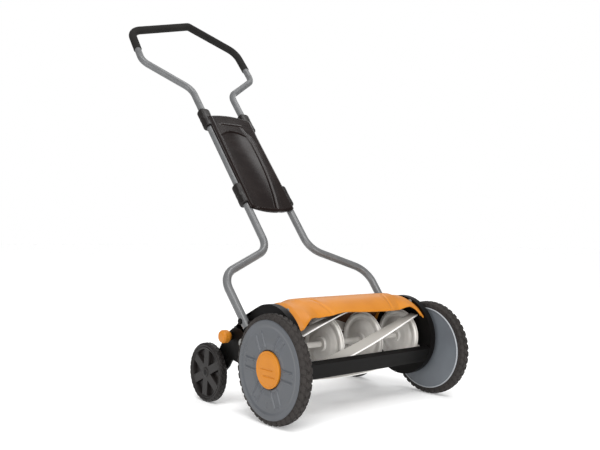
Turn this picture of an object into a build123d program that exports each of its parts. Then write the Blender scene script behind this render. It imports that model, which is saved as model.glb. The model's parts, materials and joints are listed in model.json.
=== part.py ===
"""Push reel mower: two geared side wheels turn a five-blade reel against a bed knife.

Millimetres, +Z up. The front of the machine faces -Y, so the operator's right is -X.
The origin is on the ground, straight below the middle of the wheel axle line.
"""
import os
from math import acos, cos, hypot, atan2, degrees, pi, radians, sin, tan

from build123d import *

# driving dimensions: each point is (y, z), each span is along x on the left (+X) side
WHEEL_R = 127.0                 # 10 inch wheels
AXLE = (0.0, WHEEL_R)
REEL = (60.4, 159.3)            # axis of the reel
REEL_R = 91.0                   # cutting radius of the blades
REEL_HALF = 217.0               # half of the blade length
TWIST = -0.211                  # degrees of twist per mm along x
BLADES = 5
BLADE_START = 183.2             # angle of the first blade's edge at x = 0
BLADE_T = 3.0
DISC_R = 73.2
DISC_X = (-206.5, -68.8, 68.8, 206.5)
SHAFT_R = 7.5
JOURNAL_R = 5.5                 # stepped ends of the reel shaft, inside the pinions

DRUM_R = 109.0                  # round body of each side plate, about the reel axis
WEB_X = 222.0                   # inner face of the side plate
WEB_T = 3.0
DRUM_X = 241.0                  # outer edge of the side plate
HOUSING_R = 105.6               # inside of the round drive housing
COVER_T = 1.5                   # drive cover
EAR = (186.0, 176.0)            # rear ear of the side plate
EAR_R = 30.0

FOOT = (144.0, 221.0)           # handle pivot
PIVOT = (158.0, 165.0)          # height arm pivot
KNOB = (207.0, 177.5)
REAR_R = 76.0
REAR = (286.7, REAR_R)          # rear wheel centre
HEIGHT_SWING = 20.0             # degrees each way

MODULE = 1.5
TEETH_HUB, TEETH_IDLER, TEETH_PINION = 46, 17, 12
GEAR_X = 226.8
GEAR_T = 6.0
BACKLASH = 0.16
PRESSURE = radians(20)

KNIFE_ANGLE = radians(-65)      # place of the bed knife round the reel
KNIFE_GAP = 0.35
KNIFE_T = 3.0
KNIFE_W = 28.0

TUBE_R = 11.0
TUBE_WALL = 1.6
GRIP_R = 13.0
LEAN = radians(39.08)           # handle leans back from upright by this
HANDLE_Y = -35.6                # where the handle's plane meets the ground
LEG_X = 76.5                    # straight upper legs of the handle
SPLICE = 700.0                  # where lower and upper tubes meet, along the handle
CLAMPS = (708.0, 1026.0)        # clamp centres along the handle
CLAMP_L = 74.0
CLAMP_LIP = 60.2                # inner end of each clamp block, behind the panel

os.makedirs("parts", exist_ok=True)


# ---------------------------------------------------------------- helpers

def keep(part, name):
    """Label a finished piece and write its file."""
    part.label = name
    export_step(part, f"parts/{name}.step")


def pair(part, name):
    """Keep a left-hand piece and its mirror image on the right."""
    keep(part, f"{name}_left")
    with BuildPart() as twin:
        mirror(part, about=Plane.YZ)
    keep(twin.part, f"{name}_right")


def both(part, name):
    """Keep a left-hand fastener and its mirror image as one group."""
    with BuildPart() as group:
        add(part)
        mirror(part, about=Plane.YZ)
    keep(group.part, name)


def spin_plane(centre, angle=90.0):
    """Plane holding the X line through centre; its local y points outwards at angle."""
    a = radians(angle)
    return Plane(origin=(0, *centre), x_dir=(1, 0, 0), z_dir=(0, -sin(a), cos(a)))


def turned(outline, centre):
    """A turned piece: the outline (x, radius) spun about the X line through centre."""
    with BuildPart() as piece:
        with BuildSketch(spin_plane(centre)):
            with BuildLine():
                Polyline(*outline, close=True)
            make_face()
        revolve(axis=Axis((0, *centre), (1, 0, 0)))
    return piece.part


def rod(centre, radius, x0, x1):
    """A plain cylinder along X."""
    return turned([(x0, 0), (x1, 0), (x1, radius), (x0, radius)], centre)


def at_angle(centre, radius, angle):
    """The point at this radius and angle (radians, from +Y towards +Z) about centre."""
    return (centre[0] + radius * cos(angle), centre[1] + radius * sin(angle))


def handle_point(x, s, n=0.0):
    """A point s up the handle's leaning plane and n in front of it."""
    return (x, HANDLE_Y + s * sin(LEAN) - n * cos(LEAN), s * cos(LEAN) + n * sin(LEAN))


def handle_plane(n=0.0):
    """The handle's leaning plane, moved forwards by n."""
    return Plane(origin=handle_point(0, 0, n), x_dir=(1, 0, 0), z_dir=(0, -cos(LEAN), sin(LEAN)))


# ---------------------------------------------------------------- gear train

GEAR_LINE = atan2(REEL[1] - AXLE[1], REEL[0] - AXLE[0])
REEL_OFFSET = hypot(REEL[0] - AXLE[0], REEL[1] - AXLE[1])
HUB_TO_IDLER = (TEETH_HUB + TEETH_IDLER) * MODULE / 2
IDLER_TO_PINION = (TEETH_IDLER + TEETH_PINION) * MODULE / 2
LIFT = acos((HUB_TO_IDLER ** 2 + REEL_OFFSET ** 2 - IDLER_TO_PINION ** 2)
            / (2 * HUB_TO_IDLER * REEL_OFFSET))
IDLER = at_angle(AXLE, HUB_TO_IDLER, GEAR_LINE + LIFT)
IDLER_LINE = atan2(REEL[1] - IDLER[1], REEL[0] - IDLER[0])


def meshed(line, phase, teeth, mate):
    """Phase of the mate whose gap faces the tooth of a gear with this phase across line."""
    pitch = 2 * pi / mate
    return line + pi - pitch * (0.5 - (line - phase) * teeth / (2 * pi))


PHASE_HUB = 0.0
PHASE_IDLER = meshed(GEAR_LINE + LIFT, PHASE_HUB, TEETH_HUB, TEETH_IDLER)
PHASE_PINION = meshed(IDLER_LINE, PHASE_IDLER, TEETH_IDLER, TEETH_PINION)


def involute(angle):
    return tan(angle) - angle


def tooth_outline(centre, teeth, phase):
    """Corner points of a spur gear with stub involute teeth."""
    pitch_r = MODULE * teeth / 2
    base_r = pitch_r * cos(PRESSURE)
    root_r = pitch_r - 1.05 * MODULE
    tip_r = pitch_r + 0.8 * MODULE
    half = pi / (2 * teeth) - BACKLASH / (2 * pitch_r) + involute(PRESSURE)
    start = max(base_r, root_r)
    radii = [start + (tip_r - start) * k / 3 for k in range(4)]
    flank = [(r, half - involute(acos(base_r / r))) for r in radii]
    if root_r < base_r:
        flank.insert(0, (root_r, half))
    points = []
    for tooth in range(teeth):
        middle = phase + 2 * pi * tooth / teeth
        points += [at_angle(centre, r, middle - a) for r, a in flank]
        points += [at_angle(centre, r, middle + a) for r, a in reversed(flank)]
    return points


def gear(centre, teeth, phase, bore, boss):
    """A gear wheel between its toothed ring and the turned boss outline."""
    hub = turned(boss, centre) if boss else None
    with BuildPart() as wheel:
        with BuildSketch(Plane.YZ.offset(GEAR_X)):
            with BuildLine():
                Polyline(*tooth_outline(centre, teeth, phase), close=True)
            make_face()
        extrude(amount=GEAR_T)
        if boss:
            add(hub)
        with Locations(Location((GEAR_X - 1, *centre), (0, 90, 0))):
            Cylinder(bore, 80, align=(Align.CENTER, Align.CENTER, Align.MIN), mode=Mode.SUBTRACT)
    return wheel.part


def drive_train():
    """Hub gears, idlers and pinions of both sides."""
    hub_boss = [(GEAR_X + GEAR_T, 0), (284, 0), (284, 10), (256, 10), (256, 24), (252, 24),
                (252, 16), (GEAR_X + GEAR_T, 16)]
    pair(gear(AXLE, TEETH_HUB, PHASE_HUB, AXLE_BOLT_R + 0.05, hub_boss), "hub_gear")
    pair(gear(IDLER, TEETH_IDLER, PHASE_IDLER, 5.05, None), "idler_gear")
    cup = [(GEAR_X + GEAR_T, 0), (234.5, 0), (234.5, 10.5), (238.5, 10.5), (238.5, 14),
           (GEAR_X + GEAR_T, 14)]
    blank = gear(REEL, TEETH_PINION, PHASE_PINION, JOURNAL_R + 0.05, cup)
    with BuildPart() as pinion:
        add(blank)
        with BuildSketch(Plane.YZ.offset(234.5)):
            with Locations(REEL):
                with PolarLocations(10.5, 3):
                    Circle(2.2)
        extrude(amount=5, mode=Mode.SUBTRACT)
    pair(pinion.part, "pinion")
    pins = turned([(WEB_X, 0), (235.2, 0), (235.2, 7.4), (233, 7.4), (233, 5), (WEB_X, 5)], IDLER)
    both(pins, "idler_pins")


# ---------------------------------------------------------------- side plates

AXLE_BOLT_R = 8.0
STOP = (FOOT[0] - 14 * sin(LEAN) - 15.4 * cos(LEAN), FOOT[1] - 14 * cos(LEAN) + 15.4 * sin(LEAN))
STOP_R = 4.0
KNOB_R = hypot(KNOB[0] - PIVOT[0], KNOB[1] - PIVOT[1])
KNOB_ANGLE = degrees(atan2(KNOB[1] - PIVOT[1], KNOB[0] - PIVOT[0]))
GUIDE_R = 103.0                 # guide screws of the grass cover
GUIDE_ANGLES = (58.0, 112.0)
CHUTE_SWING = 25.0
KNIFE_EDGE = at_angle(REEL, REEL_R + KNIFE_GAP, KNIFE_ANGLE)
KNIFE_PLANE = Plane(origin=(0, *KNIFE_EDGE), x_dir=(1, 0, 0),
                    z_dir=(0, -cos(KNIFE_ANGLE), -sin(KNIFE_ANGLE)))
BAR_BOLT = (-31.5, 118.0)
CARRIER_BOLT = (KNIFE_EDGE[0] - 12 * sin(KNIFE_ANGLE) + 8 * cos(KNIFE_ANGLE),
                KNIFE_EDGE[1] + 12 * cos(KNIFE_ANGLE) + 8 * sin(KNIFE_ANGLE))
BOLT_R = 3.0
HEAD_R = 5.5


def plate_hull(shrink=0.0):
    """Outline of a side plate: the drum, the rear ear and the handle foot."""
    with BuildSketch() as outline:
        with Locations(REEL):
            Circle(DRUM_R - shrink)
        with Locations(EAR):
            Circle(EAR_R - shrink)
        with Locations(FOOT):
            Circle(18 - shrink)
        make_hull()
    return outline.sketch


def side_plate():
    """Pressed pan with a round drive housing, a flanged rear ear and pivot bosses."""
    outside, inside = plate_hull(), plate_hull(WEB_T)
    knob_path = CenterArc(PIVOT, KNOB_R, KNOB_ANGLE - HEIGHT_SWING, 2 * HEIGHT_SWING)
    bolt_holes = [turned(countersunk(0.05), place) for place in (BAR_BOLT, CARRIER_BOLT)]
    with BuildPart() as plate:
        with BuildSketch(Plane.YZ.offset(WEB_X)):
            add(outside)
        extrude(amount=DRUM_X - WEB_X)
        with BuildSketch(Plane.YZ.offset(WEB_X + WEB_T)):
            add(inside)
        extrude(amount=DRUM_X - WEB_X, mode=Mode.SUBTRACT)
        with BuildSketch(Plane.YZ.offset(WEB_X)):
            with Locations(REEL):
                Circle(HOUSING_R + WEB_T)
                Circle(HOUSING_R, mode=Mode.SUBTRACT)
        extrude(amount=DRUM_X - WEB_X)
        with BuildSketch(Plane.YZ.offset(WEB_X)):
            with Locations(FOOT):
                Circle(13)
            with Locations(PIVOT):
                Circle(15)
            SlotArc(knob_path, 18)
        extrude(amount=DRUM_X - WEB_X)
        with BuildSketch(Plane.YZ.offset(WEB_X - 1)):
            with Locations(REEL):
                Circle(16)
            with Locations(AXLE):
                Circle(AXLE_BOLT_R)
            with Locations(IDLER):
                Circle(5)
            with Locations(PIVOT):
                Circle(6)
            with Locations(FOOT, STOP):
                Circle(STOP_R)
            SlotArc(knob_path, 6.6)
            with Locations(*guide_points()):
                Circle(BOLT_R)
        extrude(amount=DRUM_X, mode=Mode.SUBTRACT)
        add(bolt_holes, mode=Mode.SUBTRACT)
    return plate.part


def guide_points():
    """Centres of the grass cover's guide screws on one side."""
    return [at_angle(REEL, GUIDE_R, radians(a)) for a in GUIDE_ANGLES]


def countersunk(gap=0.0):
    """Outline of a countersunk bolt whose head is flush with the web's outer face."""
    face = WEB_X + WEB_T + gap
    return [(WEB_X - 10 - gap, 0), (face, 0), (face, HEAD_R + gap),
            (face - 2.5, BOLT_R + gap), (WEB_X - 10 - gap, BOLT_R + gap)]


def drive_cover():
    """Round lid over the gears, flush with the side plate's rim."""
    with BuildPart() as lid:
        with BuildSketch(Plane.YZ.offset(DRUM_X - COVER_T)):
            with Locations(REEL):
                Circle(HOUSING_R - 0.2)
            with Locations(AXLE):
                Circle(17, mode=Mode.SUBTRACT)
            with Locations(STOP):
                Circle(STOP_R + 0.2, mode=Mode.SUBTRACT)
            with Locations(FOOT):
                Circle(13.2, mode=Mode.SUBTRACT)
            with Locations(PIVOT):
                Circle(15.2, mode=Mode.SUBTRACT)
        extrude(amount=COVER_T)
    return lid.part


def plate_hardware():
    """Bolts, bearings, pins and nuts that belong to the side plates."""
    bearing = [(218, SHAFT_R + 0.05), (226, SHAFT_R + 0.05), (226, 16), (WEB_X, 16),
               (WEB_X, 22), (218, 22)]
    both(turned(bearing, REEL), "reel_bearings")
    axle = [(218.5, 0), (289.4, 0), (289.4, 6), (284.3, 6), (284.3, AXLE_BOLT_R),
            (WEB_X, AXLE_BOLT_R), (WEB_X, 12), (218.5, 12)]
    both(turned(axle, AXLE), "axle_bolts")
    with BuildPart() as nut:
        with BuildSketch(Plane.YZ.offset(284.4)):
            with Locations(AXLE):
                Circle(11.5)
                Circle(6, mode=Mode.SUBTRACT)
        extrude(amount=1.2)
        with BuildSketch(Plane.YZ.offset(285.6)):
            with Locations(AXLE):
                RegularPolygon(9.2, 6, major_radius=False)
                Circle(6, mode=Mode.SUBTRACT)
        extrude(amount=3.6)
    both(nut.part, "wheel_nuts")
    pivot = [(WEB_X - 1, 0), (254, 0), (254, 9), (252.5, 11), (250, 11), (250, 6), (WEB_X - 1, 6)]
    both(turned(pivot, PIVOT), "arm_pivot_bolts")
    bolt = [(WEB_X - 1, 0), (269.5, 0), (269.5, 6), (268.5, 7.5), (265.8, 7.5), (265.8, STOP_R),
            (WEB_X - 1, STOP_R)]
    both(turned(bolt, FOOT), "handle_bolts")
    both(rod(STOP, STOP_R, WEB_X, 256), "handle_stops")
    frame_bolts = [turned(countersunk(), place) for place in (BAR_BOLT, CARRIER_BOLT)]
    with BuildPart() as bolts:
        add(frame_bolts)
    both(bolts.part, "frame_bolts")
    screw = [(213.8, 0), (WEB_X + WEB_T, 0), (WEB_X + WEB_T, BOLT_R), (217, BOLT_R),
             (217, HEAD_R), (214.6, HEAD_R)]
    guide_screws = [turned(screw, place) for place in guide_points()]
    with BuildPart() as guides:
        add(guide_screws)
    both(guides.part, "cover_guide_screws")


# ---------------------------------------------------------------- cross members

def front_bar():
    """Folded sheet across the front: a sloping face with a ledge above and a lip below."""
    with BuildPart() as bar:
        with BuildSketch(Plane.YZ.offset(-WEB_X)):
            with BuildLine():
                Polyline((-33.5, 140.0), (-45.5, 132.7), (-31.0, 96.6), (-18.0, 99.5),
                         (-18.4, 102.0), (-29.5, 99.5), (-42.6, 131.7), (-34.6, 137.0),
                         close=True)
            make_face()
        extrude(amount=2 * WEB_X)
        for side in (-1, 1):
            with BuildSketch(Plane.YZ.offset(side * (WEB_X - 1.5))):
                with Locations(BAR_BOLT):
                    Circle(8.5)
            extrude(amount=1.5, both=True)
        with BuildSketch(Plane.YZ.offset(-WEB_X)):
            with Locations(BAR_BOLT):
                Circle(BOLT_R)
        extrude(amount=2 * WEB_X, mode=Mode.SUBTRACT)
    keep(bar.part, "front_bar")


def knife():
    """Bed knife, the angle that carries it, and its screws."""
    length = 2 * REEL_HALF
    screws = knife_screws()
    with BuildPart() as blade:
        with BuildSketch(KNIFE_PLANE):
            with Locations((0, KNIFE_W / 2)):
                Rectangle(length, KNIFE_W)
        extrude(amount=-KNIFE_T)
        add(screws, mode=Mode.SUBTRACT)
    keep(blade.part, "bed_knife")
    with BuildPart() as angle:
        with BuildSketch(KNIFE_PLANE.offset(-KNIFE_T)):
            with Locations((0, 20)):
                Rectangle(2 * WEB_X, 28)
        extrude(amount=-4)
        with BuildSketch(KNIFE_PLANE.offset(-KNIFE_T)):
            with Locations((0, 32)):
                Rectangle(2 * WEB_X, 4)
        extrude(amount=-15)
        for side in (-1, 1):
            with BuildSketch(KNIFE_PLANE.offset(-KNIFE_T)):
                with Locations((side * (WEB_X - 1.5), 17)):
                    Rectangle(3, 26)
            extrude(amount=-12)
        add(screws, mode=Mode.SUBTRACT)
        with BuildSketch(Plane.YZ.offset(-WEB_X)):
            with Locations(CARRIER_BOLT):
                Circle(BOLT_R)
        extrude(amount=2 * WEB_X, mode=Mode.SUBTRACT)
    keep(angle.part, "knife_carrier")
    keep(screws, "bed_knife_screws")


def knife_screws():
    """Five screws through the knife and its carrier, flush with the knife's top face."""
    with BuildPart() as screws:
        with BuildSketch(KNIFE_PLANE.offset(-7)):
            with Locations((0, 15)):
                with GridLocations(96, 1, 5, 1):
                    Circle(2.6)
        extrude(amount=7)
    return screws.part


# ---------------------------------------------------------------- reel

def reel():
    """Shaft, four dished discs and five twisted blades, with the ratchet keys."""
    end = 238.8
    shaft = [(-end, 0), (end, 0), (end, JOURNAL_R), (226.5, JOURNAL_R), (226.5, SHAFT_R),
             (-226.5, SHAFT_R), (-226.5, JOURNAL_R), (-end, JOURNAL_R)]
    with BuildPart() as axle:
        add(turned(shaft, REEL))
        for x in (-236.5, 236.5):
            with Locations((x, *REEL)):
                Box(3, 4, 2 * JOURNAL_R + 2, mode=Mode.SUBTRACT)
    keep(axle.part, "reel_shaft")
    with BuildPart() as key:
        with Locations((236.5, *REEL)):
            Box(3, 4, 18)
    both(key.part, "ratchet_keys")
    for number, x in enumerate(DISC_X, 1):
        keep(turned(disc_outline(x), REEL), f"reel_disc_{number}")
    for number in range(BLADES):
        keep(reel_blade(BLADE_START + 360 / BLADES * number), f"reel_blade_{number + 1}")


def disc_outline(x):
    """A dished disc with a hub, a raised ring and a rolled rim."""
    face = [(-11, SHAFT_R), (-11, 17), (-6, 20), (-4.5, 34), (-1, 46), (2, 52), (2, 58),
            (-1, 62), (-1, 67), (3, 70), (3, DISC_R)]
    back = [(6, DISC_R), (6, 68), (2, 65), (2, 63), (5, 59), (5, 50), (2, 45), (-1.5, 33),
            (-2.5, 22), (4, 17), (4, SHAFT_R)]
    return [(x + dx, r) for dx, r in face + back]


def blade_section(angle):
    """Corners of the strip's section for a cutting edge at this angle (degrees)."""
    outer = at_angle(REEL, REEL_R, radians(angle))
    inner = at_angle(REEL, DISC_R + 3.1, radians(angle - 14))
    dy, dz = inner[0] - outer[0], inner[1] - outer[1]
    size = hypot(dy, dz)
    ny, nz = dz / size * BLADE_T, -dy / size * BLADE_T
    return [outer, inner, (inner[0] + ny, inner[1] + nz), (outer[0] + ny, outer[1] + nz)]


def reel_blade(start):
    """One steel strip, twisted about the reel axis through a stack of sections."""
    steps = 12
    with BuildPart() as strip:
        for k in range(steps + 1):
            x = REEL_HALF * (2 * k / steps - 1)
            with BuildSketch(Plane.YZ.offset(x)):
                with BuildLine():
                    Polyline(*blade_section(start + TWIST * x), close=True)
                make_face()
        loft()
    return strip.part


# ---------------------------------------------------------------- wheels

def wheels():
    """Tyre, moulded wheel, inner disc and hub cap of both driving wheels."""
    tyre = [(259.1, 110), (259.1, 121), (262.5, 125.2), (268, WHEEL_R), (280, WHEEL_R),
            (285.4, 125.2), (288.8, 121), (288.8, 110)]
    pair(turned(tyre, AXLE), "tyre")
    moulding = [(259, 10), (284, 10), (284, 43), (287.6, 45.5), (289.2, 60), (289.2, 96),
                (290.6, 102), (290.6, 112), (289.8, 113.3), (288.8, 113.3), (288.8, 110),
                (256.2, 110), (256.2, 107), (286.4, 107), (287.6, 101), (286.4, 95),
                (286.4, 60), (284.6, 48), (281, 45), (281, 18), (259, 18)]
    pair(turned(moulding, AXLE), "wheel")
    disc = [(256.2, 10.1), (258.7, 10.1), (258.7, 106.9), (256.2, 106.9)]
    pair(turned(disc, AXLE), "wheel_inner_disc")
    cap = [(284.1, 40), (289.6, 38), (289.9, 0), (292, 0), (291.8, 30), (291, 38.5), (292, 40),
           (291.4, 42.6), (286, 42.6), (284.1, 42)]
    pair(turned(cap, AXLE), "hub_cap")


def rear_wheel():
    """One-piece moulded wheel with a closed back and six ribs."""
    outline = [(252, 5.05), (271, 5.05), (271, 13), (263, 15), (263, 60), (275, 62), (276, 66),
               (277.1, 68), (276.4, 73), (273, REAR_R), (259, REAR_R), (255, 72), (255, 62),
               (258, 60), (258, 14), (252, 12)]
    blank = turned(outline, REAR)
    with BuildPart() as wheel:
        add(blank)
        with BuildSketch(Plane.YZ.offset(262)):
            with Locations(REAR):
                with PolarLocations(36, 6):
                    Rectangle(52, 11)
        extrude(amount=9.5)
        with BuildSketch(Plane.YZ.offset(250)):
            with Locations(REAR):
                Circle(5.05)
        extrude(amount=30, mode=Mode.SUBTRACT)
    pair(wheel.part, "rear_wheel")


# ---------------------------------------------------------------- cutting height

ARM_X = 243.5
ARM_T = 6.0
ARM_BAR = (238.0, 128.0)        # cross rod between the arms


def height_arms():
    """The two rear arms, the rod that ties them, their axle bolts and the knob."""
    with BuildPart() as arm:
        with BuildSketch(Plane.YZ.offset(ARM_X)) as outline:
            with BuildLine():
                Polyline((143, 182), (146, 128), (176, 114), (203, 118), (219, 97), (268, 58),
                         (300, 60), (303, 88), (258, 142), (232, 178), (196, 200), (165, 198),
                         close=True)
            make_face()
            fillet(outline.vertices(), 11)
            with Locations(PIVOT):
                Circle(6.06, mode=Mode.SUBTRACT)
            with Locations(REAR):
                Circle(5, mode=Mode.SUBTRACT)
            with Locations(ARM_BAR):
                Circle(6, mode=Mode.SUBTRACT)
            with Locations(KNOB):
                Circle(3.1, mode=Mode.SUBTRACT)
        extrude(amount=ARM_T)
        with BuildSketch(Plane.YZ.offset(ARM_X + ARM_T)):
            with Locations(KNOB):
                Circle(10)
                Circle(3.1, mode=Mode.SUBTRACT)
        extrude(amount=5)
    pair(arm.part, "height_arm")
    tie = [(-ARM_X - ARM_T, 0), (ARM_X + ARM_T, 0), (ARM_X + ARM_T, 6), (ARM_X, 6), (ARM_X, 8),
           (-ARM_X, 8), (-ARM_X, 6), (-ARM_X - ARM_T, 6)]
    keep(turned(tie, ARM_BAR), "height_tie_rod")
    bolt = [(ARM_X - 3, 0), (276, 0), (276, 6), (275, 9), (271.4, 9), (271.4, 5), (251.8, 5),
            (251.8, 8), (ARM_X + ARM_T, 8), (ARM_X + ARM_T, 5), (ARM_X, 5), (ARM_X, 9),
            (ARM_X - 3, 9)]
    both(turned(bolt, REAR), "rear_axle_bolts")
    grip = [(-234, 0), (-234, 3), (-255, 3), (-255, 11), (-260, 14.5), (-264, 16.5),
            (-275, 16.5), (-279, 14.5), (-281, 9), (-281.5, 0)]
    keep(turned(grip, KNOB), "height_knob")


# ---------------------------------------------------------------- grass cover

COVER_REAR = -5.0               # rear edge of the cover round the reel, degrees
COVER_FRONT = 150.0
COVER_X = 221.0
SHELL_T = 2.5


def grass_cover():
    """Curved hood over the reel that turns about the reel axis on slotted end cheeks."""
    shape = [(-COVER_X, 111), (-185, 111), (-140, 118.5), (140, 118.5), (185, 111),
             (COVER_X, 111)]
    inside = [(x, r - SHELL_T) for x, r in reversed(shape)]
    middle = 139.5
    slots = [CenterArc(REEL, GUIDE_R, start, CHUTE_SWING) for start in GUIDE_ANGLES]
    with BuildPart() as hood:
        with BuildSketch(spin_plane(REEL, COVER_REAR)):
            with BuildLine():
                Polyline(*shape, *inside, close=True)
            make_face()
        revolve(axis=Axis((0, *REEL), (1, 0, 0)), revolution_arc=COVER_FRONT - COVER_REAR)
        for x in (-COVER_X, COVER_X - 3.4):
            cheek = [(x, 95), (x + 3.4, 95), (x + 3.4, 110), (x, 110)]
            with BuildSketch(spin_plane(REEL, COVER_REAR)):
                with BuildLine():
                    Polyline(*cheek, close=True)
                make_face()
            revolve(axis=Axis((0, *REEL), (1, 0, 0)), revolution_arc=142 - COVER_REAR)
        a = radians(middle)
        front = Plane(origin=(0, *REEL), x_dir=(1, 0, 0), z_dir=(0, cos(a), sin(a)))
        with BuildSketch(front.offset(85)):
            with BuildLine():
                Polyline((-186, 19), (186, 19), (216, -26), (-216, -26), close=True)
            make_face()
        extrude(amount=50, mode=Mode.SUBTRACT)
        with BuildSketch(Plane.YZ.offset(-COVER_X - 1)):
            for slot in slots:
                SlotArc(slot, 6.8)
        extrude(amount=2 * COVER_X + 2, mode=Mode.SUBTRACT)
    keep(hood.part, "grass_cover")


# ---------------------------------------------------------------- handle

FOOT_S = FOOT[1] / cos(LEAN)
SHOULDER = (261.4, 423.7)       # outer bend above the wheel
WAIST = (LEG_X, 509.1)          # bend into the straight leg
NECK = (LEG_X, 1167.7)          # bend out to the hand loop
CORNER = (216.0, 1282.9)
TOP = (211.0, 1435.3)
PEAK_S, PEAK_N = 1469.1, 38.0   # middle of the hand grip, bent forwards
GRIP_START = 0.37               # how far up from CORNER to TOP the grip begins


def tube(points, radii, outer, inner):
    """A round tube along a path of straight runs and arcs."""
    with BuildPart() as pipe:
        with BuildLine():
            route = FilletPolyline(*points, radius=radii)
        with BuildSketch(Plane(origin=route @ 0, z_dir=route % 0)):
            Circle(outer)
            Circle(inner, mode=Mode.SUBTRACT)
        sweep(path=route)
    return pipe.part


def handle_tubes():
    """Two lower tubes, the upper tube and the soft grip over its top."""
    bore = TUBE_R - TUBE_WALL
    lower = [handle_point(253, FOOT_S - 20), handle_point(*SHOULDER), handle_point(*WAIST),
             handle_point(LEG_X, SPLICE)]
    pipe = tube(lower, [66, 62], TUBE_R, bore)
    low_bolt, high_bolt = clamp_bolt_rod(CLAMPS[0]), clamp_bolt_rod(CLAMPS[1])
    with BuildPart() as leg:
        add(pipe)
        with Locations(Location((253, *FOOT), (0, 90, 0))):
            Cylinder(STOP_R + 0.06, 40, mode=Mode.SUBTRACT)
        add(low_bolt, mode=Mode.SUBTRACT)
    pair(leg.part, "lower_tube")
    half = [handle_point(LEG_X, SPLICE), handle_point(*NECK), handle_point(*CORNER, -7),
            handle_point(*TOP, -6)]
    other = [(-x, y, z) for x, y, z in reversed(half)]
    loop = half + [handle_point(0, PEAK_S, PEAK_N)] + other
    pipe = tube(loop, [55, 46, 40, 16, 40, 46, 55], TUBE_R, bore)
    with BuildPart() as upper:
        add(pipe)
        for bolt in (low_bolt, high_bolt):
            add(bolt, mode=Mode.SUBTRACT)
            mirror(bolt, about=Plane.YZ, mode=Mode.SUBTRACT)
    keep(upper.part, "upper_tube")
    start = tuple(a + (b - a) * GRIP_START for a, b in zip(half[2], half[3]))
    soft = [start] + loop[3:6] + [(-start[0], start[1], start[2])]
    keep(tube(soft, [40, 16, 40], GRIP_R, TUBE_R + 0.05), "hand_grip")


def clamp_bolt_rod(s, radius=3.1):
    """Cylinder for a clamp bolt: across the left leg at s along the handle."""
    centre = handle_point(0, s)[1:]
    return rod(centre, radius, LEG_X - 18, LEG_X + 19)


def handle_panel():
    """Moulded panel on the straight legs, held by four clamps and their bolts."""
    half, low, high = 80.0, 642.0, 1026.0
    with BuildPart() as panel:
        with BuildSketch(handle_plane(TUBE_R + 0.3)) as outline:
            with BuildLine():
                Line((-half, low + 10), (-half, high))
                ThreePointArc((-half, high), (0, high + 12), (half, high))
                Line((half, high), (half, low + 10))
                ThreePointArc((half, low + 10), (0, low - 8), (-half, low + 10))
            make_face()
        extrude(amount=8)
        chamfer(panel.faces().sort_by(Axis((0, 0, 0), handle_plane().z_dir))[-1].edges(), 3)
    keep(panel.part, "handle_panel")
    holes = [clamp_bolt_rod(s) for s in CLAMPS]
    with BuildPart() as clamps:
        for s in CLAMPS:
            with BuildSketch(Plane(origin=handle_point(LEG_X, s - CLAMP_L / 2),
                                   x_dir=(1, 0, 0), z_dir=(0, sin(LEAN), cos(LEAN)))):
                Circle(16.5)
                with Locations(((CLAMP_LIP - LEG_X) / 2, 0.5)):
                    Rectangle(LEG_X - CLAMP_LIP, 23)
                Circle(TUBE_R + 0.05, mode=Mode.SUBTRACT)
            extrude(amount=CLAMP_L)
        with BuildSketch(handle_plane(11)):
            with Locations((LEG_X, 860)):
                Rectangle(60, 500)
        extrude(amount=30, mode=Mode.SUBTRACT)
        add(holes, mode=Mode.SUBTRACT)
    both(clamps.part, "tube_clamps")
    outline = [(LEG_X - 20, 0), (LEG_X + 20, 0), (LEG_X + 20, 5), (LEG_X + 19, 6),
               (LEG_X + 16.6, 6), (LEG_X + 16.6, 3), (LEG_X - 16.6, 3),
               (LEG_X - 16.6, 5.5), (LEG_X - 20, 5.5)]
    pieces = [turned(outline, handle_point(0, s)[1:]) for s in CLAMPS]
    with BuildPart() as bolts:
        add(pieces)
    both(bolts.part, "clamp_bolts")


pair(side_plate(), "side_plate")
pair(drive_cover(), "drive_cover")
plate_hardware()
front_bar()
knife()
drive_train()
reel()
wheels()
rear_wheel()
height_arms()
grass_cover()
handle_tubes()
handle_panel()
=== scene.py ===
"""Push reel mower: finishes, moulded and rubber surfaces, studio and camera."""

import json
from math import cos, radians, sin

import bmesh
import bpy
import numpy as np
from mathutils import Matrix, Vector


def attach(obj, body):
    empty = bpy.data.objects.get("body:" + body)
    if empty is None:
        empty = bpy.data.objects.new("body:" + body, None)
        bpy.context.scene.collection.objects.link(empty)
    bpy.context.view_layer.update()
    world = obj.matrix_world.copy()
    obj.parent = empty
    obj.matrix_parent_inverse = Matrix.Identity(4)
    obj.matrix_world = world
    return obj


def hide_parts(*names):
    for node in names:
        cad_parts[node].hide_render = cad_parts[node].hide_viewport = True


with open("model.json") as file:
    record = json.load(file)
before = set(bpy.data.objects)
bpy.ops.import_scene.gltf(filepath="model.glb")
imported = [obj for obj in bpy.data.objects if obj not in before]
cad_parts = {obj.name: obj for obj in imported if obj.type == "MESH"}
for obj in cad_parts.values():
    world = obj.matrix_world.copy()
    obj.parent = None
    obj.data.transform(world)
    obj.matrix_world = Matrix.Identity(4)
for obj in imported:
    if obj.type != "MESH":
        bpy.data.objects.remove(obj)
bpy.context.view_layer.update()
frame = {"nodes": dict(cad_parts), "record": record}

# Shapes are worked out in millimetres; MM turns them to metres. Axles are (y, z) points.
MM = 0.001
AXLE = (0.0, 127.0)
REAR_AXLE = (286.7, 76.0)
REEL_AXIS = (60.4, 159.3)
KNOB_AXIS = (207.0, 177.5)
SIDES = ((1, "left"), (-1, "right"))


# ---------------------------------------------------------------- materials

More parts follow.
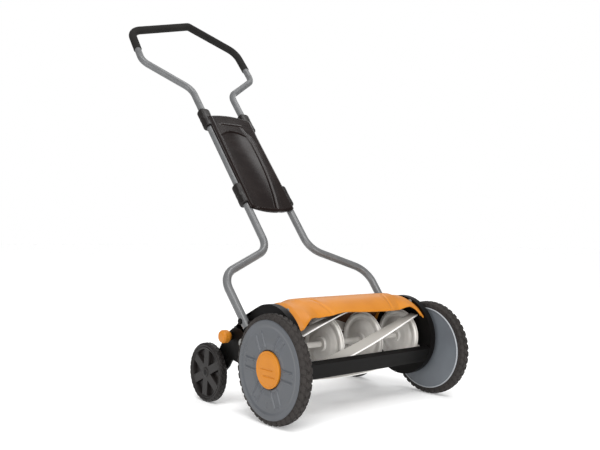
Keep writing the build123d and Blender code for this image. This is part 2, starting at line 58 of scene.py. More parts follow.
def linear(code):
    """A '#rrggbb' sRGB colour as the linear RGBA that Blender uses."""
    channels = [int(code[i:i + 2], 16) / 255 for i in (1, 3, 5)]
    curve = [c / 12.92 if c <= 0.04045 else ((c + 0.055) / 1.055) ** 2.4 for c in channels]
    return (*curve, 1.0)


def add_node(tree, kind, links=None, **settings):
    """Adds a node, sets its properties or sockets by name, and links its inputs."""
    made = tree.nodes.new(kind)
    for name, value in settings.items():
        if hasattr(made, name):
            setattr(made, name, value)
        else:
            made.inputs[name.replace("_", " ")].default_value = value
    for socket, source in (links or {}).items():
        tree.links.new(source, made.inputs[socket])
    return made


def start_material(name, color, roughness, metallic=0.0, **extra):
    """A Principled material on Object coordinates; returns it with its tree, shader and coords."""
    material = bpy.data.materials.new(name)
    material.use_nodes = True
    tree = material.node_tree
    shader = tree.nodes["Principled BSDF"]
    shader.inputs["Base Color"].default_value = linear(color)
    shader.inputs["Roughness"].default_value = roughness
    shader.inputs["Metallic"].default_value = metallic
    for socket, value in extra.items():
        shader.inputs[socket.replace("_", " ")].default_value = value
    place = add_node(tree, "ShaderNodeTexCoord").outputs["Object"]
    return material, tree, shader, place


def mottle(tree, shader, place, shades, patch, rough=None, detail=4.0):
    """Colour drifts between two shades over patches of this size; roughness may drift too."""
    noise = add_node(tree, "ShaderNodeTexNoise", {"Vector": place},
                     Scale=1 / patch, Detail=detail)
    ramp = add_node(tree, "ShaderNodeValToRGB", {"Fac": noise.outputs["Fac"]})
    low, high = ramp.color_ramp.elements
    low.position, high.position = 0.32, 0.68
    low.color, high.color = linear(shades[0]), linear(shades[1])
    tree.links.new(ramp.outputs["Color"], shader.inputs["Base Color"])
    if rough:
        spread = add_node(tree, "ShaderNodeMapRange", {"Value": noise.outputs["Fac"]},
                          From_Min=0.3, From_Max=0.7, To_Min=rough[0], To_Max=rough[1])
        tree.links.new(spread.outputs["Result"], shader.inputs["Roughness"])


def grain(tree, shader, place, size, depth, detail=2.0):
    """A fine bump from noise: grain of this size and depth, in metres."""
    noise = add_node(tree, "ShaderNodeTexNoise", {"Vector": place}, Scale=1 / size, Detail=detail)
    bump = add_node(tree, "ShaderNodeBump", {"Height": noise.outputs["Fac"]},
                    Strength=1.0, Distance=depth)
    tree.links.new(bump.outputs["Normal"], shader.inputs["Normal"])


def reach_from(tree, place, axle):
    """How far a point is from an axle that lies across the mower, in metres."""
    about = add_node(tree, "ShaderNodeMapping", {"Vector": place},
                     Location=(0, -axle[0] * MM, -axle[1] * MM), Scale=(0, 1, 1))
    reach = add_node(tree, "ShaderNodeVectorMath", {0: about.outputs["Vector"]},
                     operation="LENGTH")
    return reach.outputs["Value"]


def coated_steel(name, shades, roughness, **extra):
    """Powder coat, sprayed and baked: an orange-peel skin about 2 mm across breaks its soft
    gloss a little."""
    material, tree, shader, place = start_material(name, shades[0], roughness, **extra)
    mottle(tree, shader, place, shades, 30 * MM, (roughness - 0.05, roughness + 0.07))
    grain(tree, shader, place, 2.2 * MM, 0.03 * MM)
    return material


def moulded_plastic(name, shades, roughness, texture=1.2 * MM, depth=0.03 * MM, **extra):
    """Injection moulding: a spark-eroded mould gives a satin skin, and the flow of the melt
    shades it over long patches. The real texture is 0.1 to 0.3 mm; it is drawn at 1 to 3 mm,
    because nothing finer shows."""
    material, tree, shader, place = start_material(name, shades[0], roughness, **extra)
    mottle(tree, shader, place, shades, 60 * MM, (roughness - 0.05, roughness + 0.06), 2.0)
    grain(tree, shader, place, texture, depth)
    return material


GROUND_RIM = (88.2, 89.4)


def ground_steel():
    """Hardened blade: dull grey faces brushed lengthwise, and an edge ground bright where it
    meets the bed knife. Dull turns to bright over GROUND_RIM, in mm from the reel's axis. The
    brush lines are 0.9 mm wide, coarser than real ones, and 20 times as long."""
    material, tree, shader, place = start_material("ground_blade_steel", "#aaa59f", 0.38, 0.25)
    brushed = add_node(tree, "ShaderNodeMapping", {"Vector": place}, Scale=(0.05, 1.0, 1.0))
    grain(tree, shader, brushed.outputs["Vector"], 0.9 * MM, 0.02 * MM, 3.0)
    rim = add_node(tree, "ShaderNodeMapRange", {"Value": reach_from(tree, place, REEL_AXIS)},
                   From_Min=GROUND_RIM[0] * MM, From_Max=GROUND_RIM[1] * MM)
    tint = add_node(tree, "ShaderNodeValToRGB", {"Fac": rim.outputs["Result"]})
    low, high = tint.color_ramp.elements
    low.color, high.color = linear("#a8a49e"), linear("#fbf9f6")
    tree.links.new(tint.outputs["Color"], shader.inputs["Base Color"])
    return material


# Radii from the axle, in mm, over which the pale painted highlight on the rim's inner lip fades
# in.
LIP_HIGHLIGHT_RADII = (106.6, 107.4)
LIP_WIDTH = (258.5, 257.5)


def wheel_moulding():
    """Filled polypropylene, satin and faintly pebbled. The lip of the rim on the inner side, past
    the radii set above from the axle and nearer the middle than LIP_WIDTH, is painted pale grey: a
    painted highlight along the lip."""
    material = moulded_plastic("blue_grey_polypropylene", ("#45484c", "#4b4e53"), 0.32,
                               1.5 * MM, 0.015 * MM, Specular_IOR_Level=0.5)
    tree = material.node_tree
    shader = tree.nodes["Principled BSDF"]
    place = add_node(tree, "ShaderNodeTexCoord").outputs["Object"]
    lip = add_node(tree, "ShaderNodeMapRange", {"Value": reach_from(tree, place, AXLE)},
                   From_Min=LIP_HIGHLIGHT_RADII[0] * MM, From_Max=LIP_HIGHLIGHT_RADII[1] * MM)
    across = add_node(tree, "ShaderNodeSeparateXYZ", {"Vector": place}).outputs["X"]
    outward = add_node(tree, "ShaderNodeMath", {0: across}, operation="ABSOLUTE")
    inner = add_node(tree, "ShaderNodeMapRange", {"Value": outward.outputs["Value"]},
                     From_Min=LIP_WIDTH[0] * MM, From_Max=LIP_WIDTH[1] * MM)
    lip_highlight = add_node(tree, "ShaderNodeMath", {0: lip.outputs["Result"],
                                             1: inner.outputs["Result"]}, operation="MULTIPLY")
    # A colour Mix numbers its sockets: 0 is the factor, 6 and 7 the colours, 2 the result.
    body = shader.inputs["Base Color"].links[0].from_socket
    blend = add_node(tree, "ShaderNodeMix", {0: lip_highlight.outputs["Value"], 6: body},
                     data_type="RGBA")
    # The painted highlight's pale grey, blended over the plastic's colour on the lip.
    blend.inputs[7].default_value = linear("#9a9da1")
    tree.links.new(blend.outputs[2], shader.inputs["Base Color"])
    return material


FINISH = {
    # Plates, arms and bars: black powder coat with a low sheen.
    "black_paint": coated_steel("black_powder_coat", ("#080707", "#0d0c0b"), 0.40,
                                Specular_IOR_Level=0.09),
    # Handle tubes: grey powder coat, glossy enough for long highlights.
    "grey_paint": coated_steel("grey_powder_coat", ("#5b5c5d", "#626364"), 0.30),
    # Grass cover, hub caps and knob: ABS coloured through, an even satin orange.
    "orange_plastic": moulded_plastic("orange_moulded_abs", ("#b8721d", "#c07a25"), 0.42,
                                      1.6 * MM, 0.02 * MM, Specular_IOR_Level=0.22),
    "wheel_plastic": wheel_moulding(),
    # Tyres: cured rubber, nearly matt, brown with dust.
    "tyre_rubber": moulded_plastic("black_tyre_rubber", ("#24211f", "#302c2a"), 0.72,
                                   2.5 * MM, 0.12 * MM, Specular_IOR_Level=0.3),
    # Rear wheels and tube clamps: moulded nylon with a soft low gloss.
    "black_plastic": moulded_plastic("black_moulded_nylon", ("#171413", "#1e1b1a"), 0.38,
                                     1.2 * MM, 0.02 * MM, Specular_IOR_Level=0.22),
    # Grip: closed-cell foam rubber, matt, with its cells showing.
    "grip_foam": moulded_plastic("black_grip_foam", ("#1c1b1a", "#242322"), 0.85,
                                 1.6 * MM, 0.15 * MM, Specular_IOR_Level=0.15),
    # Reel shaft and discs: pressed steel in warm pale enamel, with soft bands of light.
    "reel_steel": coated_steel("warm_grey_enamel", ("#cac6c0", "#d8d5d0"), 0.34),
    "blade_steel": ground_steel(),
    # Gears and bearings: glass-filled nylon, dull and slightly rough.
    "gear_nylon": moulded_plastic("glass_filled_nylon", ("#161514", "#1f1d1c"), 0.5),
    # Bolts, nuts and pins: zinc plate dulled by its passivation.
    "zinc_steel": coated_steel("zinc_plated_steel", ("#7f7f7c", "#8c8c89"), 0.3),
}
# The plate behind each wheel gets a paler copy of the wheel's plastic, and a little duller:
# painted light that makes up for the shade the plate stands in.
PLATE_PAINTED_LIGHTER = moulded_plastic("plate_polypropylene_painted_lighter", ("#5f6368", "#656a6f"), 0.4,
                        1.5 * MM, 0.015 * MM, Specular_IOR_Level=0.4)
# The cover's underside gets no direct light; its dark brown is painted shade.
INSIDE_PAINTED_SHADE = moulded_plastic("unlit_orange_abs_inside", ("#3d2414", "#472b18"), 0.6,
                          Specular_IOR_Level=0.2)
# The panel comes from a polished mould: smooth, near-black, with narrow highlights.
GLOSSY = moulded_plastic("gloss_black_abs", ("#140d0c", "#1a1210"), 0.22,
                         3.0 * MM, 0.006 * MM, Specular_IOR_Level=0.13)

for entry in frame["record"]["subparts"]:
    node = frame["nodes"][entry["node"]]
    node.data.materials.clear()
    node.data.materials.append(FINISH[entry["material_slot"]])
# The plates behind the wheels take that paler copy: painted light against their shade.
for _, word in SIDES:
    frame["nodes"]["wheel_inner_disc_" + word].data.materials[0] = PLATE_PAINTED_LIGHTER


# ---------------------------------------------------------------- surfaces

def ease(value, low, high):
    """Smooth step: 0 below low, 1 above high, 3t^2 - 2t^3 between."""
    t = np.clip((value - low) / (high - low), 0, 1)
    return t * t * (3 - 2 * t)


def swell(value, width):
    """1 at zero, falling smoothly to 0 at that distance on both sides."""
    return 1 - ease(np.abs(value), 0, width)


def surface(name, grid, slot, body, stands_for, wrap=(True, True), poles=False,
            facing=None, sharp=38):
    """Quads between neighbours of a grid of points in mm; wrap closes rows or columns.
    The faces are turned so that the enclosed volume, or the area along facing, is positive.
    Edges that turn by more than sharp degrees stay crisp."""
    rows, cols = grid.shape[:2]
    i, j = np.meshgrid(np.arange(rows - (not wrap[0])), np.arange(cols - (not wrap[1])),
                       indexing="ij")
    i2, j2 = (i + 1) % rows, (j + 1) % cols
    quads = np.stack([i * cols + j, i * cols + j2, i2 * cols + j2, i2 * cols + j], -1)
    quads = quads.reshape(-1, 4)
    points = grid.reshape(-1, 3) * MM
    a, b, c, d = (points[quads[:, k]] for k in range(4))
    area = np.cross(c - a, d - b)
    outward = (a + c) / 2 - points.mean(0) if facing is None else np.array(facing)
    if (area * outward).sum() < 0:
        quads = quads[:, ::-1]
    mesh = bpy.data.meshes.new(name)
    mesh.vertices.add(len(points))
    mesh.vertices.foreach_set("co", points.ravel())
    mesh.loops.add(quads.size)
    mesh.loops.foreach_set("vertex_index", quads.ravel().astype(np.int32))
    mesh.polygons.add(len(quads))
    mesh.polygons.foreach_set("loop_start", np.arange(0, quads.size, 4, dtype=np.int32))
    mesh.update(calc_edges=True)
    if poles:
        weld(mesh)
    mesh.shade_smooth()
    mesh.set_sharp_from_angle(angle=radians(sharp))
    piece = bpy.data.objects.new(name, mesh)
    bpy.context.collection.objects.link(piece)
    mesh.materials.append(FINISH[slot])
    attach(piece, body)
    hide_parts(*stands_for)
    return piece


def weld(mesh):
    """Merges the points that meet at a pole."""
    work = bmesh.new()
    work.from_mesh(mesh)
    bmesh.ops.remove_doubles(work, verts=work.verts, dist=1e-7)
    work.to_mesh(mesh)
    work.free()


def give_wall(piece, thickness, even=False):
    """Solidify: the sheet's back lies this many mm behind its face."""
    wall = piece.modifiers.new("wall", "SOLIDIFY")
    wall.thickness, wall.offset, wall.use_even_offset = thickness * MM, -1, even
    return wall


def eased_corners(profile, cut):
    """Corner cutting on a closed outline: each corner gives way to two points, cut along its
    two edges but never past 0.3 of an edge."""
    here = np.array(profile, float)
    ahead, behind = np.roll(here, -1, 0) - here, np.roll(here, 1, 0) - here
    reach = [np.minimum(cut, 0.3 * np.hypot(*way.T))[:, None] for way in (behind, ahead)]
    pair = [here + way * far / np.maximum(np.hypot(*way.T), 1e-9)[:, None]
            for way, far in zip((behind, ahead), reach)]
    return np.stack(pair, 1).reshape(-1, 2)


def spaced(profile, step, closed=True):
    """The same outline with extra points, none further apart than step."""
    line = np.vstack([profile, profile[:1]]) if closed else np.array(profile, float)
    run = np.append(0, np.cumsum(np.hypot(*np.diff(line, axis=0).T)))
    at = np.unique(np.round(np.append(run, np.arange(0, run[-1], step)), 4))
    line = np.stack([np.interp(at, run, line[:, k]) for k in (0, 1)], -1)
    return line[:-1] if closed else line


def turned(profile, axle, count, side=1, relief=None):
    """A profile of (x, radius) carried round an axle: y = yc + r cos a, z = zc + r sin a.
    relief(x, r, a) gives what is added to x and to r."""
    a = np.linspace(0, 2 * np.pi, count, endpoint=False)[None, :]
    x, r = profile[:, :1], profile[:, 1:]
    dx, dr = relief(x, r, a) if relief else (0, 0)
    x, r = np.broadcast_arrays(x + dx + 0 * a, r + dr + 0 * a)
    return np.stack([side * x, axle[0] + r * np.cos(a), axle[1] + r * np.sin(a)], -1)


# ---------------------------------------------------------------- wheels

# Treads: lugs round the wheel, middle and half width across it.
TYRE_LUGS, TYRE_MIDDLE, TYRE_HALF = 42, 274.0, 14.9
REAR_LUGS, REAR_MIDDLE, REAR_HALF = 34, 266.0, 10.8
RINGS_AT = 0.46                      # the two rings, as a share of the half width

SPOKES, SPOKE_START = 6, radians(5)
FACE_X, FACE_RADII = 287.4, (45.6, 99)    # the outer face, past this x and between these
RIB_HEIGHT, RIB_ASIDE = 2.0, 11.5
RIB_STARTS, RIB_ENDS = (46, 51), (84, 90)
BAND_DEPTH, BAND_EDGE = 0.6, (8.5, 11)
DOME_HEIGHT, DOMES_AT = 0.7, (53.5, 87.0)

CAP_FACE_X, CAP_FACE_RADIUS = 290.5, 37
GROOVE_DEPTH, GROOVE_EDGE, GROOVE_TIP = 1.7, (0.9, 2.1), (22, 24)
GROOVES_AT = ((3, 0.6), (-5, -14.7))      # (y, z) of each middle, from the axle

WEB_X, WEB_RADIUS = 273, 61
POCKET_DEPTH, POCKET_SIDE, POCKET_END = 9, (10.6, 12.4), (58.6, 60.4)


def tread(x, r, a, lugs, middle, half, depth, root):
    """Grooves cut inwards by depth, fading in from the root radius. A saw of lugs teeth round
    the tyre, skewed by the distance s from the middle, gives V-shaped bars between two rings
    and square blocks outside them; on the flank the cut turns sideways."""
    s = np.abs(x - middle) / half
    saw = lugs * a / (2 * np.pi)
    bars = np.abs((saw + 0.95 * s) % 1 - 0.5) * 2
    blocks = np.abs((saw + 0.5 + 0.3 * s) % 1 - 0.5) * 2
    between_bars, between_blocks = 1 - ease(bars, 0.20, 0.38), 1 - ease(blocks, 0.24, 0.40)
    cross = np.where(s < RINGS_AT, between_bars, between_blocks)
    rings = swell(s - RINGS_AT, 0.11)
    cut = depth * np.maximum(cross, rings) * ease(r, root, root + 4)
    flank = ease(s, 0.86, 1.0)
    return -np.sign(x - middle) * cut * flank * 0.75, -cut * (1 - 0.35 * flank)


def tyre_relief(x, r, a):
    """Coarse grip: grooves 3 mm deep down to radius 114."""
    return tread(x, r, a, TYRE_LUGS, TYRE_MIDDLE, TYRE_HALF, 3.0, 114.0)


def sector(a, start, count):
    """The angle from the nearest of count evenly spaced directions."""
    step = 2 * np.pi / count
    return (a - start + step / 2) % step - step / 2


def wheel_relief(x, r, a):
    """Six pairs of ribs on the outer face: flat-sided ridges along each spoke, RIB_ASIDE from
    its centre line, with a sunk band between them and two small domes on the line. A dome's
    height is the square root of 1 - d^2 / 2.6 at a distance d from its middle."""
    turn = sector(a, SPOKE_START, SPOKES)
    along, across = r * np.cos(turn), r * np.sin(turn)
    face = (x > FACE_X) & (r > FACE_RADII[0]) & (r < FACE_RADII[1])
    window = ease(along, *RIB_STARTS) * (1 - ease(along, *RIB_ENDS))
    ridges = np.clip(1.15 - np.abs(np.abs(across) - RIB_ASIDE) / 3.0, 0, 1) * window
    band = (1 - ease(np.abs(across), *BAND_EDGE)) * window
    domes = sum(np.sqrt(np.clip(1 - ((along - far) ** 2 + across ** 2) / 2.6, 0, 1))
                for far in DOMES_AT)
    raised = RIB_HEIGHT * ridges - BAND_DEPTH * band * (domes <= 0) + DOME_HEIGHT * domes
    return face * raised, 0


def cap_relief(x, r, a):
    """Two level grooves across the cap's face, one above the other, with eased ends."""
    across, up = r * np.cos(a), r * np.sin(a)
    grooves = sum((1 - ease(np.abs(up - high), *GROOVE_EDGE))
                  * (1 - ease(np.abs(across - mid), *GROOVE_TIP)) for mid, high in GROOVES_AT)
    return -GROOVE_DEPTH * grooves * ((x > CAP_FACE_X) & (r < CAP_FACE_RADIUS)), 0


def rear_relief(x, r, a):
    """Six pockets between spokes of one width, and a shallow grip on the tread."""
    turn = np.abs(sector(a, SPOKE_START, SPOKES))
    from_spoke = r * np.sin(np.pi / SPOKES - turn)
    web = (x > WEB_X) & (r < WEB_RADIUS)
    pocket = ease(from_spoke, *POCKET_SIDE) * (1 - ease(r, *POCKET_END)) * web
    dx, dr = tread(x, r, a, REAR_LUGS, REAR_MIDDLE, REAR_HALF, 1.7, 70.5)
    return dx - POCKET_DEPTH * pocket, dr


# Outlines in (x, radius), each carried round its axle.
TYRE = [(259.1, 110), (259.1, 119), (260.4, 122.4), (263.6, 125.4), (268, 126.7), (274, 127),
        (280, 126.7), (284.8, 125.4), (287.6, 122.4), (288.8, 119), (288.8, 110)]
WHEEL = [(259, 10), (284, 10), (284, 43), (287.6, 45.5), (289.2, 60), (289.2, 96),
         (290.6, 102), (290.6, 112), (289.8, 113.3), (288.8, 113.3), (288.8, 110),
         (256.2, 110), (255.0, 109.2), (254.7, 108.2), (255.3, 107.1),
         (256.4, 106.9), (286.4, 107), (287.6, 101), (286.4, 95), (286.4, 60),
         (284.6, 48), (281, 45), (281, 18), (259, 18)]
CAP = [(292, 0), (291.8, 30), (291.0, 38.4), (292, 39.8), (292, 41.2), (291, 42.6),
       (286, 42.6), (284.2, 42), (284.1, 40), (289.6, 38), (289.9, 0)]
REAR_WHEEL = [(252, 5.05), (274.8, 5.05), (275.6, 6.4), (275.6, 11), (274, 13), (274, 61),
              (275.4, 62.2), (276.4, 64.6), (274.8, 66), (274.8, 67.4), (276.8, 68.6),
              (276.8, 72), (275.4, 74.6), (272.4, 76), (259.6, 76), (256.6, 74.6),
              (255, 72), (255, 63), (262, 61), (262, 14), (252, 12)]

for side, word in SIDES:
    wheel = "wheel_" + word
    surface("tyre_lugged_" + word,
            turned(spaced(np.array(TYRE), 1.3), AXLE, 18 * TYRE_LUGS, side, tyre_relief),
            "tyre_rubber", wheel, ["tyre_" + word])
    surface("wheel_ribbed_" + word,
            turned(spaced(eased_corners(WHEEL, 0.5), 1.2), AXLE, 720, side, wheel_relief),
            "wheel_plastic", wheel, ["wheel_" + word])
    surface("hub_cap_grooved_" + word,
            turned(spaced(np.array(CAP), 0.9, False), AXLE, 420, side, cap_relief),
            "orange_plastic", wheel, ["hub_cap_" + word], wrap=(False, True), poles=True)
    surface("rear_wheel_pocketed_" + word,
            turned(spaced(eased_corners(REAR_WHEEL, 0.5), 1.1), REAR_AXLE, 14 * REAR_LUGS, side,
                   rear_relief),
            "black_plastic", "rear_wheel_" + word, ["rear_wheel_" + word])


# ---------------------------------------------------------------- grass cover

COVER_HALF, COVER_REAR = 221, -5     # half its width, and the angle where it ends behind
TOP_ANGLE = 94                       # the angle at which the pressed folds have run out
CHEEK_X, CHEEK_RADII = 220.4, (95, 102.4)

# Angle of the front edge at each x, in degrees from straight back, over the top.
EDGE = np.array([
    (-221, 148.5), (-214, 149.5), (-207, 147.5), (-200, 144.5), (-190, 140.5), (-181, 137),
    (-170, 134.2), (-155, 132.8), (-141, 132.3), (-125, 132.8), (-112, 133.6), (-102, 133.6),
    (-92, 132.8), (-80, 131.8), (-62, 130.8), (-40, 131.2), (-13, 132.6), (30, 134),
    (55, 134.6), (85, 135), (100, 134.8), (112, 134), (125, 132.5), (142, 130.8), (160, 129.6),
    (175, 129.6), (187, 131.2), (195, 134), (200, 139), (205, 144), (211, 147.5), (217, 148.5),
    (221, 147)])

# Each fold: its |x| at the front edge and how far that moves by the top, then the change of
# slope at the front edge and how that changes by the top. The last one turns the ends in.
FOLDS = ((98, 27, -0.24, 0.218), (142, 21, 0.50, -0.778), (180, 5, -0.42, 0.720),
         (208, -7, -0.42, 0.06))


def cover_grid():
    """A shell round the reel axis over x and angle a, whose radius is a level centre less soft
    folds: each fold bends the slope along x at |x| = k(t), where t runs from 0 at the front
    edge to 1 at the top. A shallow dent runs beside the first fold."""
    x = np.linspace(-COVER_HALF, COVER_HALF, 331)
    edge = np.interp(x, *EDGE.T)
    blur = np.hanning(11)
    padded = np.pad(edge, 5, mode="edge")
    edge = np.convolve(padded, blur / blur.sum(), "valid")
    v = np.linspace(0, 1, 190)[:, None] ** 1.15
    a = edge + (COVER_REAR - edge) * v
    t = np.clip((edge - a) / (edge - TOP_ANGLE), 0, 1)
    out = np.abs(x)

    def fold(at, shift, slope, change):
        past = out - (at + shift * t)
        soft = 1.5
        return (slope + change * t) * (past + np.sqrt(past ** 2 + soft ** 2)) / 2

    dent = 2.0 * swell(out - 103 - 27 * t, 9) * ease(t, 0.0, 0.1) * (1 - ease(t, 0.85, 1))
    lip = 1.0 * (1 - ease(v, 0, 0.02))
    r = 115.6 + 2.9 * ease(t, 0, 1.0) + sum(fold(*shape) for shape in FOLDS) - dent - lip
    a = np.radians(a)
    return np.stack([x + 0 * a, REEL_AXIS[0] + r * np.cos(a), REEL_AXIS[1] + r * np.sin(a)], -1)


def cheek_grid(side):
    """A flat ring of x = constant over radius and angle, inside each end of the cover."""
    r = np.linspace(*CHEEK_RADII, 7)[None, :]
    a = np.radians(np.linspace(COVER_REAR, 142, 148))[:, None]
    x = side * (CHEEK_X + 0 * r * a)
    return np.stack([x, REEL_AXIS[0] + r * np.cos(a), REEL_AXIS[1] + r * np.sin(a)], -1)


cover = surface("grass_cover_folded", cover_grid(), "orange_plastic", "grass_cover",
                ["grass_cover"], wrap=(False, False), sharp=60)
# The inner faces of the cover's wall are painted dark brown: painted shade.
cover.data.materials.append(INSIDE_PAINTED_SHADE)
give_wall(cover, 2.5, even=True).material_offset = 1
for side, word in SIDES:
    cheek = surface("cover_cheek_" + word, cheek_grid(side), "orange_plastic", "grass_cover",
                    ["grass_cover"], wrap=(False, False), facing=(side, 0, 0))
    give_wall(cheek, 2.8)


# ---------------------------------------------------------------- handle panel and clamps

LEAN, HANDLE_Y = radians(39.08), -35.6    # lean from upright; y where its line meets the floor
PANEL_HALF, PANEL_OUT = 80, 19.2          # half width, and how far its face stands out
PANEL_LOW, PANEL_HIGH = 652, 1026         # its corners, along the handle
HOLLOW_LOW, HOLLOW_TOP, CREST_AT = 647, 965, 994
SKIRT, SKIRT_U, SKIRT_V = 7, 0.12, 0.04   # drop, and how far u and v run past the edges for it

# The hollow's leaf-shaped right edge: x at each distance s along the handle.
HOLLOW_S = [640, 650, 698, 752, 802, 866, 915, 945, 965, 1040]
HOLLOW_X = [10, 12, 24, 33, 38.5, 41, 40, 34, 26, 10]

CLAMP_SPANS = {"low": (671, 745), "high": (989, 1063)}
TUBE_X, CLAMP_WIDE, CLAMP_DEEP, CLAMP_POWER = 76.5, 19.0, 15.5, 3.2


def on_handle(x, s, n):
    """A point x across, s along the handle from the floor's level and n out in front of it."""
    return np.stack(np.broadcast_arrays(
        x, HANDLE_Y + s * sin(LEAN) - n * cos(LEAN), s * cos(LEAN) + n * sin(LEAN)), -1)


def panel_grid():
    """A sheet over x and s with arched ends. Its height n has a rail at the left, a hollow
    bounded by an arch and a leaf-shaped edge, a ridge outside that edge, a short crest across
    the top, and a turned-down skirt all round."""
    u = np.concatenate([[-1.12, -1.08, -1.04], np.linspace(-1, 1, 141), [1.04, 1.08, 1.12]])
    v = np.concatenate([[-0.04, -0.02], np.linspace(0, 1, 221), [1.02, 1.04]])[:, None]
    x = PANEL_HALF * np.clip(u, -1, 1)
    arch = 1 - (x / PANEL_HALF) ** 2
    low, high = PANEL_LOW - 16 * arch, PANEL_HIGH + 12 * arch
    s = low + (high - low) * np.clip(v, 0, 1)
    past_sides, past_ends = np.maximum(np.abs(u) - 1, 0), np.maximum(np.abs(v - 0.5) - 0.5, 0)
    skirt = SKIRT * past_sides / SKIRT_U + SKIRT * past_ends / SKIRT_V
    brink = np.minimum(PANEL_HALF - np.abs(x), np.minimum(s - low, high - s))
    right = np.interp(s, HOLLOW_S, HOLLOW_X)
    top = HOLLOW_TOP - 22 * ((x + 12) / 52) ** 2
    left = -70 - 0.014 * (1000 - s)
    hollow = ease(right - x, 0, 3) * ease(x - left - 5, 0, 4)
    hollow = hollow * ease(top - s, 0, 4) * ease(s - HOLLOW_LOW, 0, 3)
    bowl = np.clip(1 - ((x + 8) / 56) ** 2, 0, 1) * np.clip((top - s) / 60, 0, 1) ** 0.5
    rail = 1.8 * swell(x - left, 4.5) - 1.2 * swell(x - left + 7, 5)
    ridge = 1.4 * swell(x - right - 7, 6) * ease(1000 - s, 0, 30)
    fall = 1.5 * ease(x - right, 12, 24) * ease(990 - s, 0, 40)
    crest = 1.7 * swell(s - CREST_AT, 6) * (1 - ease(np.abs(x + 8), 36, 46))
    n = PANEL_OUT - 2.6 * (1 - ease(brink, 0, 6)) - skirt
    n = n + rail + ridge - fall + crest - hollow * (1.6 + 5.2 * bowl)
    return on_handle(x, s, n)


def clamp_grid(side, low, high):
    """A squarish ring |x/w|^p + |n/h|^p = 1, carried along s, drawn in at both ends like a
    cushion, with a boss on its outer face for the bolt and a waist between two shoulders."""
    a = np.linspace(0, 2 * np.pi, 72, endpoint=False)[None, :]
    v = np.linspace(0, 1, 61)[:, None]
    end = np.clip(np.minimum(v, 1 - v) / 0.09, 0, 1)
    size = np.sqrt(np.clip(1 - (1 - end) ** 2, 0, 1)) * 0.18 + 0.82
    size = size * np.where((v == 0) | (v == 1), 0, 1)
    waist = 1 - 0.06 * swell(v - 0.5, 0.30)
    power = 2 / CLAMP_POWER
    across = np.sign(np.cos(a)) * np.abs(np.cos(a)) ** power
    out = np.sign(np.sin(a)) * np.abs(np.sin(a)) ** power
    boss = 3.0 * swell(v - 0.5, 0.17) * np.clip(np.cos(a), 0, 1) ** 3
    x = TUBE_X + (CLAMP_WIDE * across * waist + boss) * size
    n = 0.5 + CLAMP_DEEP * out * size * waist
    return on_handle(side * x, low + (high - low) * v, n)


panel = surface("handle_panel_moulded", panel_grid(), "black_plastic", "handle",
                ["handle_panel"], wrap=(False, False), facing=(0, -1, 0.5), sharp=50)
panel.data.materials[0] = GLOSSY
give_wall(panel, 2.5)
for side, word in SIDES:
    for level, (low, high) in CLAMP_SPANS.items():
        surface("clamp_" + level + "_" + word, clamp_grid(side, low, high),
                "black_plastic", "handle", ["tube_clamps"], wrap=(False, True), poles=True)


# ---------------------------------------------------------------- knob

KNOB = [(-281.5, 0), (-281.2, 9), (-279.4, 14), (-275, 16.3), (-264, 16.5), (-260, 14.8),
        (-255, 11), (-255, 3), (-234, 3), (-234, 0)]
surface("height_knob_turned", turned(spaced(np.array(KNOB), 1.0, False), KNOB_AXIS, 120),
        "orange_plastic", "height_knob", ["height_knob"], wrap=(False, True), poles=True)


# ---------------------------------------------------------------- studio

SUN = {"name": "overhead", "at": (-0.9, -1.0, 2.6), "strength": 1.5, "spread": 35}
# Soft lamps: name, place, width in metres, watts.
LAMPS = (("key", (-2.6, -0.7, 0.85), 1.3, 23), ("front", (-0.7, -2.6, 0.8), 1.3, 28),
         ("back", (1.6, 1.9, 2.0), 1.6, 12), ("top", (0.6, 0.1, 2.5), 0.8, 13))
LIT_POINT = (0, 0.2, 0.3)            # the middle of the mower
FLOOR_SIZE = 60

EYE = (-1.2455, -1.2557, 0.428)
AZIMUTH, ELEVATION, ROLL = radians(-39.83), radians(-1.03), radians(0.5)
LENS, FILM = 41.6, 36.0


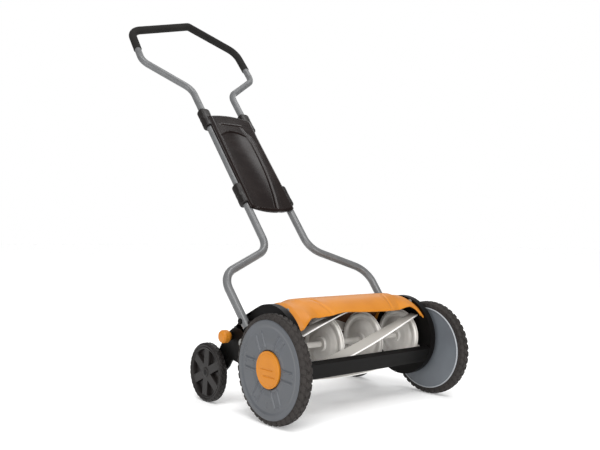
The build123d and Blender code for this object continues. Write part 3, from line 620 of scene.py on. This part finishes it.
def sky():
    """A white backdrop to the eye that lights the model only softly, brighter overhead."""
    world = bpy.data.worlds.new("studio")
    bpy.context.scene.world = world
    world.use_nodes = True
    tree = world.node_tree
    shader = tree.nodes["Background"]
    shader.inputs["Color"].default_value = linear("#ffffff")
    way = add_node(tree, "ShaderNodeTexCoord").outputs["Generated"]
    height = add_node(tree, "ShaderNodeSeparateXYZ", {"Vector": way}).outputs["Z"]
    glow = add_node(tree, "ShaderNodeMapRange", {"Value": height}, From_Min=-0.1, From_Max=0.9,
                    To_Min=0.2, To_Max=0.6)
    seen = add_node(tree, "ShaderNodeLightPath").outputs["Is Camera Ray"]
    either = add_node(tree, "ShaderNodeMath", {0: glow.outputs["Result"], 1: seen},
                      operation="MAXIMUM")
    tree.links.new(either.outputs["Value"], shader.inputs["Strength"])


def paper_floor():
    """White background paper. Its faint glow lets its far end meet the backdrop unseen."""
    bpy.ops.mesh.primitive_plane_add(size=FLOOR_SIZE)
    floor = bpy.context.object
    floor.name = "floor"
    material, tree, shader, place = start_material("paper_sweep", "#f7f7f7", 0.95,
                                                   Emission_Color=linear("#ffffff"),
                                                   Emission_Strength=0.19)
    mottle(tree, shader, place, ("#f6f6f6", "#f8f8f8"), 0.8)
    floor.data.materials.append(material)


def hang(data, at):
    """Hangs a light at a point, aimed at LIT_POINT."""
    lamp = bpy.data.objects.new(data.name, data)
    bpy.context.collection.objects.link(lamp)
    turn = (Vector(LIT_POINT) - Vector(at)).to_track_quat("-Z", "Y").to_matrix().to_4x4()
    lamp.matrix_world = Matrix.Translation(at) @ turn


def lights():
    """A broad sun overhead, and four soft lamps: a low key at the operator's right, one in
    front, one behind and one above."""
    sun = bpy.data.lights.new(SUN["name"], "SUN")
    sun.energy, sun.angle = SUN["strength"], radians(SUN["spread"])
    hang(sun, SUN["at"])
    for name, at, width, power in LAMPS:
        data = bpy.data.lights.new(name, "AREA")
        data.size, data.energy = width, power
        hang(data, at)


def camera():
    """Low three-quarter front view from the operator's right."""
    back = Vector((sin(AZIMUTH) * cos(ELEVATION), -cos(AZIMUTH) * cos(ELEVATION),
                   sin(ELEVATION)))
    level = Vector((0, 0, 1)).cross(back).normalized()
    plumb = back.cross(level)
    right = level * cos(ROLL) + plumb * sin(ROLL)
    up = plumb * cos(ROLL) - level * sin(ROLL)
    data = bpy.data.cameras.new("camera")
    data.lens, data.sensor_width = LENS, FILM
    eye = bpy.data.objects.new("camera", data)
    bpy.context.collection.objects.link(eye)
    turn = Matrix((right, up, back)).transposed().to_4x4()
    eye.matrix_world = Matrix.Translation(EYE) @ turn
    bpy.context.scene.camera = eye
    bpy.context.scene.view_settings.view_transform = "Standard"


sky()
paper_floor()
lights()
camera()
